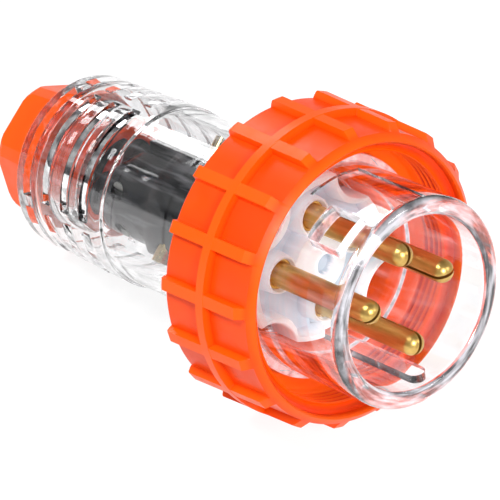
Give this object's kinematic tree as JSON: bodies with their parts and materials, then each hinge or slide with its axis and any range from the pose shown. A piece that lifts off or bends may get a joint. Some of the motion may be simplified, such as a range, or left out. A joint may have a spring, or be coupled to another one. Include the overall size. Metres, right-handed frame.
{
  "type": "industrial plug",
  "caption": "Industrial cable plug with a clear housing, slotted round pins, a ribbed locking ring that turns and a gland nut at the cable end.",
  "frame": {"origin": "on the plug's axis, in the plane of the locking ring's front face", "axes": "+X is the way the pins point, +Z is the side of the sunk panel, opposite the polarising key, and Y completes the frame"},
  "size_m": [0.1328, 0.0757, 0.0759],
  "materials": {
    "clear_housing": "clear moulded polycarbonate, glossy",
    "orange_plastic": "satin orange moulded plastic",
    "white_plastic": "white moulded plastic",
    "dark_plastic": "dark grey moulded plastic",
    "pin_brass": "bright turned brass",
    "screw_brass": "turned brass screw",
    "plated_screw": "zinc plated steel",
    "seal_rubber": "black seal rubber",
    "grommet_rubber": "dark rubber",
    "washer_steel": "plain steel"
  },
  "bodies": {
    "housing": {"body_seal": "seal_rubber", "carrier_screw": "plated_screw", "clamp_base": "dark_plastic", "clamp_saddle": "dark_plastic", "clamp_screw_1": "plated_screw", "clamp_screw_2": "plated_screw", "handle_body": "clear_housing", "pin_1": "pin_brass", "pin_2": "pin_brass", "pin_3": "pin_brass", "pin_4": "pin_brass", "pin_carrier": "white_plastic", "shroud": "clear_housing", "terminal_block": "dark_plastic", "terminal_screw_1": "screw_brass", "terminal_screw_2": "screw_brass", "terminal_screw_3": "screw_brass", "terminal_screw_4": "screw_brass"},
    "ring": {"locking_ring": "orange_plastic"},
    "gland": {"gland_nut": "orange_plastic", "cable_grommet": "grommet_rubber", "thrust_washer": "washer_steel"}
  },
  "joints": [
    {"name": "ring_spin", "type": "hinge", "parent": "housing", "child": "ring", "pos_m": [-0.0142, 0, 0], "axis": [1, 0, 0], "continuous": true},
    {"name": "gland_turn", "type": "hinge", "parent": "housing", "child": "gland", "pos_m": [-0.1, 0, 0], "axis": [1, 0, 0], "continuous": true}
  ]
}
